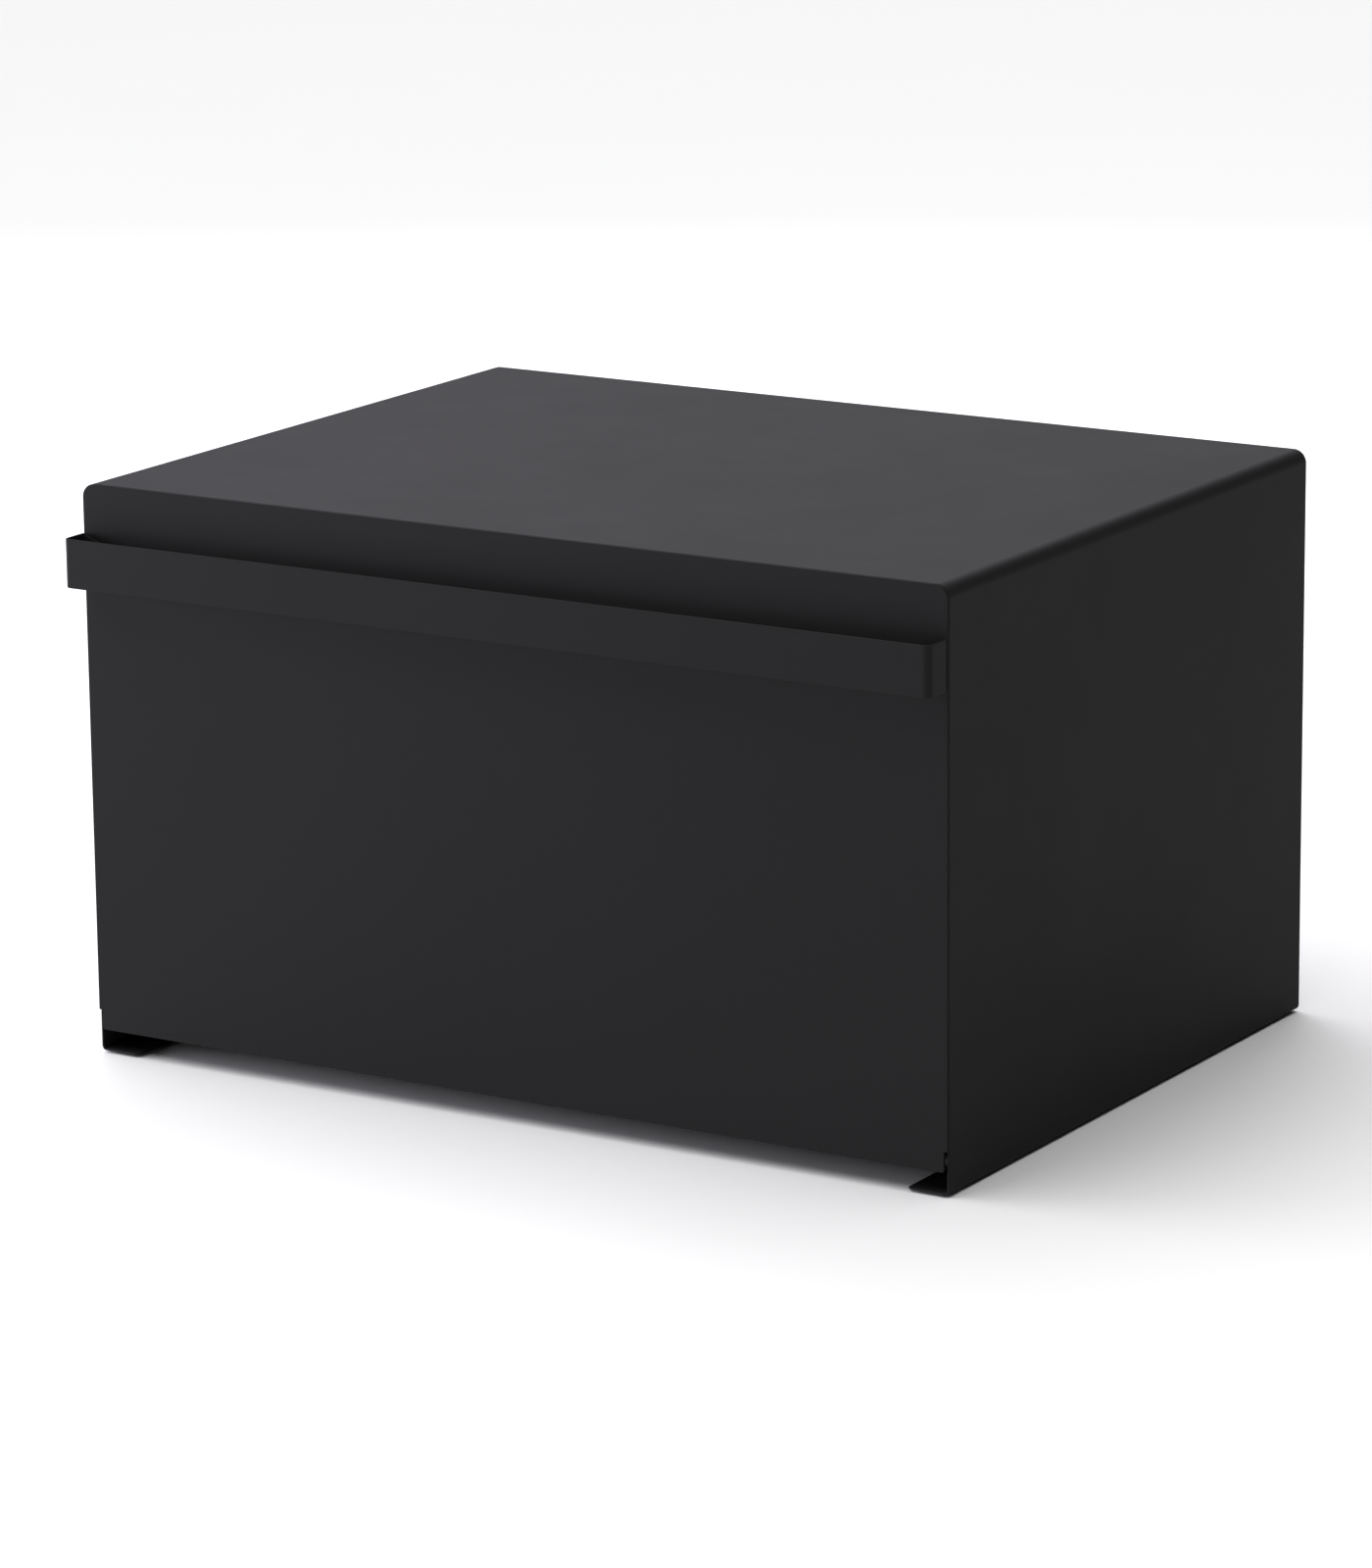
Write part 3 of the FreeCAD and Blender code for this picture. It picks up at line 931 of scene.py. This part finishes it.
class BIN_OT_catches(bpy.types.Operator):
    """Make the two magnetic catches under the top"""

    bl_idname = "bin.catches"
    bl_label = "Magnetic catches"

    def execute(self, context):
        deliver_pairs(
            (self.bracket(context.scene.bin_sizes), "catch_bracket", "powder_coat_black"),
            (self.case(), "magnet_case", "black_plastic"),
            (self.magnet(), "magnet", "ferrite"),
            (self.pole_plates(), "magnet", "zinc_steel"),
            (self.rivets(), "catch_rivets", "zinc_steel"))
        return {"FINISHED"}

    def bracket(self, sizes):
        """An angle: a leg behind the magnet case and a foot welded under the top."""
        low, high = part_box("catch_bracket_right")
        piece = block("catch_angle_right", low, high)
        drop_faces(piece, lambda f: f.normal.y > -FACING and f.normal.z < FACING)
        fold(piece, lambda e: lies(e, y=low.y, z=high.z), sizes.panel_bend, sizes.fold_steps // 2)
        round_corner(piece, lambda v: lies(v, y=high.y) or lies(v, z=low.z), BRACKET_CORNER, 4)
        thicken(piece, SHEET)
        soften(piece, BRACKET_EDGE)
        return piece

    def case(self):
        """A moulded box with a pocket for the magnet and a groove in its underside."""
        low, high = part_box("magnet_case_right")
        pocket_low, pocket_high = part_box("magnet_right")
        centre = (low + high) / 2
        piece = block("magnet_case_moulded_right", low, high)
        cut("x", pocket_low.x, pocket_high.x)
        cut("z", pocket_low.z, pocket_high.z)
        pick(piece, "FACE", lambda f: lies(f, x=centre.x, y=low.y, z=centre.z))
        push(pocket_high.y - low.y, "y")
        cut("y", centre.y, centre.y + CASE_GROOVE)
        pick(piece, "FACE", lambda f: lies(f, x=centre.x, y=centre.y + CASE_GROOVE / 2, z=low.z))
        push(CASE_GROOVE_DEPTH, "z")
        join_flats()
        soften(piece, MOULDED_EDGE)
        return piece

    def magnet(self):
        """The ferrite bar, between its two pole plates."""
        low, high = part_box("magnet_right")
        inset = Vector((0, MAGNET_RECESS, POLE_SHEET))
        piece = block("ferrite_bar_right", low + inset, high - Vector((0, 0, POLE_SHEET)))
        soften(piece, MOULDED_EDGE)
        return piece

    def pole_plates(self):
        """The two thin steel plates that carry the magnet's pull to the door."""
        low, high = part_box("magnet_right")
        piece = block("pole_plates_right", low, Vector((high.x, high.y, low.z + POLE_SHEET)))
        bpy.ops.mesh.select_all(action="SELECT")
        bpy.ops.mesh.duplicate_move(
            TRANSFORM_OT_translate={"value": (0, 0, high.z - low.z - POLE_SHEET)})
        soften(piece, PLATE_EDGE)
        return piece

    def rivets(self):
        """Two blind rivets with domed heads."""
        low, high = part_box("catch_rivets_right")
        radius = (high.z - low.z) / 2
        seat = high.y - RIVET_HEAD
        centre_z = (low.z + high.z) / 2
        depth = seat - low.y
        piece = disc("rivets_domed_right", radius / 2, depth,
                     (low.x + radius, low.y + depth / 2, centre_z), FRONT_TO_BACK, 32)
        pick(piece, "FACE", lambda f: lies(f, y=seat) and len(f.verts) > 4)
        extrude((0, 0, 0))
        bpy.ops.transform.resize(value=(2, 1, 2), center_override=(low.x + radius, seat, centre_z))
        push(RIVET_HEAD, "y")
        pick(piece, "EDGE", lambda e: lies(e, y=high.y) and len(e.link_faces) == 2)
        bpy.ops.mesh.bevel(offset=RIVET_DOME * RIVET_HEAD, segments=5, affect="EDGES")
        bpy.ops.mesh.select_all(action="SELECT")
        bpy.ops.mesh.duplicate_move(
            TRANSFORM_OT_translate={"value": (high.x - low.x - 2 * radius, 0, 0)})
        soften(piece, RIVET_EDGE, TURNED_ANGLE)
        return piece


class BIN_OT_pads(bpy.types.Operator):
    """Make the four rubber foot pads"""

    bl_idname = "bin.pads"
    bl_label = "Foot pads"

    def execute(self, context):
        first_low, first_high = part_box("foot_pad_front_right")
        first_middle = (first_low + first_high) / 2
        radius = (first_high.x - first_low.x) / 2
        pad = disc("pad_front_right", radius, first_high.z - first_low.z, first_middle, UPRIGHT, 64)
        pick(pad, "FACE", lambda f: lies(f, z=first_low.z))
        bpy.ops.mesh.inset(thickness=PAD_RIM * radius)
        push(PAD_DISH, "z")
        soften(pad, MOULDED_EDGE)
        deliver(pad, "case", "rubber", "foot_pad_front_right")
        for corner in ("front_left", "rear_left", "rear_right"):
            low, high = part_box("foot_pad_" + corner)
            twin = copy_piece(pad, "pad_" + corner, (low + high) / 2 - first_middle)
            deliver(twin, "case", "rubber", "foot_pad_" + corner)
        return {"FINISHED"}


class BIN_OT_weld_marks(bpy.types.Operator):
    """Add the shallow spot-weld marks of the liner and back, and the back's tack welds"""

    bl_idname = "bin.weld_marks"
    bl_label = "Spot weld marks"

    def execute(self, context):
        sizes = context.scene.bin_sizes
        liner_low, liner_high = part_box("door_liner")
        face = liner_low.y + sizes.liner_sheet
        half = liner_high.x - LINER_WELD_INSET
        columns = spread(-half, half, 5)
        rows = spread(LINER_WELD_LOWEST, liner_high.z - LINER_WELD_DROP, 4)
        places = [(x, face, z) for x in columns for z in rows
                  if x in (columns[0], columns[-1]) or z in (rows[0], rows[-1])]
        liner = self.marks("liner_weld_marks", sizes.weld_radius, places)
        deliver(liner, "door", "powder_coat_black")

        back_low, back_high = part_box("back_panel")
        places = [(x, back_high.y, back_low.z + BACK_WELD_RISE)
                  for x in spread(-BACK_WELD_REACH, BACK_WELD_REACH, 5)]
        rear = self.marks("back_weld_marks", sizes.weld_radius, places)
        deliver(rear, "case", "powder_coat_black")

        span = back_high.x - sizes.panel_relief + SLOT_WIDTH / 2
        edge = back_high.x - SLOT_DEPTH / 2
        flange_low = back_low.z + BACK_FLANGE_RISE - SLOT_WIDTH / 2
        flange_high = back_high.z - sizes.panel_relief + SLOT_WIDTH / 2
        beside = ((span, back_high.z - SLOT_DEPTH / 2), (edge, flange_high), (edge, flange_low))
        wall = back_high.y - SHEET
        tacks = self.tacks([Vector((side * x, wall, z)) for _, side in SIDES for x, z in beside])
        deliver(tacks, "case", "powder_coat_black")
        return {"FINISHED"}

    def tacks(self, places):
        """Small tack welds on the inside of the back, over the bend reliefs."""
        first = places[0]
        deselect_all()
        bpy.ops.mesh.primitive_uv_sphere_add(segments=24, ring_count=12, radius=TACK_RADIUS, location=first)
        piece = take("back_tack_welds")
        bpy.ops.mesh.select_all(action="SELECT")
        bpy.ops.mesh.bisect(plane_co=first, plane_no=(0, 1, 0), use_fill=True, clear_outer=True)
        bpy.ops.mesh.select_all(action="SELECT")
        bpy.ops.transform.resize(value=(1, TACK_HEIGHT, 1), center_override=first)
        self.repeat(places)
        return piece

    def marks(self, name, radius, places):
        """Shallow round dimples with a raised ring."""
        piece = disc(name, radius, WELD_RISE, places[0], FRONT_TO_BACK, 24)
        pick(piece, "FACE", lambda f: len(f.verts) > 4)
        bpy.ops.mesh.inset(thickness=WELD_RIM * radius, use_individual=True)
        bpy.ops.transform.resize(value=(1, WELD_DISH, 1), center_override=places[0])
        bpy.ops.mesh.select_all(action="SELECT")
        self.repeat(places)
        return piece

    def repeat(self, places):
        """Copy the selected mesh from the first place to each other one, then shade it."""
        for before, after in zip(places, places[1:]):
            bpy.ops.mesh.duplicate_move(TRANSFORM_OT_translate={"value": Vector(after) - Vector(before)})
        bpy.ops.object.mode_set(mode="OBJECT")
        bpy.ops.object.shade_smooth_by_angle(angle=WELD_ANGLE)


# --------------------------------------------------------------------- stage

FLOOR_SPAN = 80.0
CEILING_FROM = (math.radians(-60), math.radians(76))
CEILING_SPREAD = math.radians(80)
VIEW_CENTRE = Vector((0.0, 0.0465, 0.121))
VIEW_AZIMUTH = math.radians(31.18)
VIEW_ELEVATION = math.radians(13.71)
AIM_YAW = math.radians(31.74)
AIM_PITCH = math.radians(14.0)
AIM_ROLL = math.radians(-0.56)


def direction(azimuth, elevation):
    """Unit vector from the middle out to a place at this azimuth and elevation."""
    level = math.cos(elevation)
    return Vector((math.sin(azimuth) * level, -math.cos(azimuth) * level, math.sin(elevation)))


def softbox(name, power, width, depth, azimuth, elevation, distance, colour):
    """An area lamp aimed at the middle from an azimuth and elevation in degrees."""
    deselect_all()
    back = direction(math.radians(azimuth), math.radians(elevation))
    bpy.ops.object.light_add(type="AREA", location=VIEW_CENTRE + back * distance)
    light = bpy.context.object
    light.name = name
    light.data.shape = "RECTANGLE"
    light.data.size = width
    light.data.size_y = depth
    light.data.energy = power
    light.data.color = colour
    light.rotation_mode = "QUATERNION"
    light.rotation_quaternion = back.to_track_quat("Z", "Y")


def studio_world(strength):
    """A faint even light that looks white where the camera sees past the floor."""
    world = bpy.data.worlds.new("studio_sky")
    world.use_nodes = True
    tree = world.node_tree
    light = tree.nodes["Background"]
    light.inputs["Color"].default_value = (1.0, 1.0, 1.0, 1.0)
    light.inputs["Strength"].default_value = strength
    white = tree.nodes.new("ShaderNodeBackground")
    white.inputs["Color"].default_value = (1.0, 1.0, 1.0, 1.0)
    path = tree.nodes.new("ShaderNodeLightPath")
    choice = tree.nodes.new("ShaderNodeMixShader")
    tree.links.new(path.outputs["Is Camera Ray"], choice.inputs["Fac"])
    tree.links.new(light.outputs["Background"], choice.inputs[1])
    tree.links.new(white.outputs["Background"], choice.inputs[2])
    tree.links.new(choice.outputs["Shader"], tree.nodes["World Output"].inputs["Surface"])
    return world


class BIN_OT_stage(bpy.types.Operator):
    """Set the floor, the soft studio light and the camera"""

    bl_idname = "bin.stage"
    bl_label = "Studio"

    def execute(self, context):
        studio = context.scene.bin_studio
        deselect_all()
        bpy.ops.mesh.primitive_plane_add(size=FLOOR_SPAN, location=(0, 0, 0))
        floor = context.object
        floor.name = "studio_floor"
        bpy.ops.object.mode_set(mode="EDIT")
        bpy.ops.mesh.subdivide(number_cuts=6)
        bpy.ops.object.mode_set(mode="OBJECT")
        floor.data.materials.append(finish_of("floor"))

        context.scene.world = studio_world(studio.sky)
        softbox("rear_softbox", studio.rear, 1.6, 1.0, -150, 35, 1.8, (0.95, 0.91, 1.0))
        softbox("rear_left_softbox", studio.rear_left, 1.4, 1.2, -118, 30, 1.8, (0.90, 0.86, 1.0))
        softbox("left_softbox", studio.left, 1.4, 0.6, -70, 6, 2.0, (0.90, 0.87, 1.0))
        softbox("front_softbox", studio.front, 1.6, 0.8, -25, 8, 2.2, (1.0, 1.0, 1.0))
        deselect_all()
        above = direction(*CEILING_FROM)
        bpy.ops.object.light_add(
            type="SUN", location=(0, 0, 5), rotation=above.to_track_quat("Z", "Y").to_euler("XYZ"))
        ceiling = context.object
        ceiling.name = "ceiling_light"
        ceiling.data.energy = studio.ceiling
        ceiling.data.angle = CEILING_SPREAD
        context.scene.view_settings.view_transform = "Standard"

        place = VIEW_CENTRE + direction(VIEW_AZIMUTH, VIEW_ELEVATION) * studio.distance
        aim = direction(AIM_YAW, AIM_PITCH).to_track_quat("Z", "Y")
        turned = aim.to_matrix() @ Matrix.Rotation(AIM_ROLL, 3, "Z")
        deselect_all()
        bpy.ops.object.camera_add(location=place, rotation=turned.to_euler("XYZ"))
        camera = context.object
        camera.name = "studio_camera"
        camera.data.lens = studio.lens
        camera.data.sensor_width = 36.0
        camera.data.clip_start = 0.05
        camera.data.clip_end = 60.0
        context.scene.camera = camera
        return {"FINISHED"}


class BIN_PT_panel(bpy.types.Panel):
    """Lists the bin's operators and its settings"""

    bl_idname = "BIN_PT_panel"
    bl_label = "Drop-front bin"
    bl_space_type = "VIEW_3D"
    bl_region_type = "UI"
    bl_category = "Bin"

    def draw(self, context):
        for operator in OPERATORS:
            self.layout.operator(operator.bl_idname)
        for group in (context.scene.bin_sizes, context.scene.bin_colours, context.scene.bin_studio):
            box = self.layout.box()
            for name in group.__annotations__:
                box.prop(group, name)


OPERATORS = (
    BIN_OT_shell,
    BIN_OT_back_panel,
    BIN_OT_floor_panel,
    BIN_OT_door_skin,
    BIN_OT_door_liner,
    BIN_OT_handle,
    BIN_OT_pivots,
    BIN_OT_catches,
    BIN_OT_pads,
    BIN_OT_weld_marks,
    BIN_OT_stage,
)
CLASSES = (BinSizes, BinColours, StudioSettings, *OPERATORS, BIN_PT_panel)


def register():
    for item in CLASSES:
        bpy.utils.register_class(item)
    bpy.types.Scene.bin_sizes = PointerProperty(type=BinSizes)
    bpy.types.Scene.bin_colours = PointerProperty(type=BinColours)
    bpy.types.Scene.bin_studio = PointerProperty(type=StudioSettings)


def unregister():
    del bpy.types.Scene.bin_studio
    del bpy.types.Scene.bin_colours
    del bpy.types.Scene.bin_sizes
    for item in reversed(CLASSES):
        bpy.utils.unregister_class(item)


def main():
    register()
    for operator in OPERATORS:
        group, name = operator.bl_idname.split(".")
        getattr(getattr(bpy.ops, group), name)()


if __name__ == "__main__":
    main()
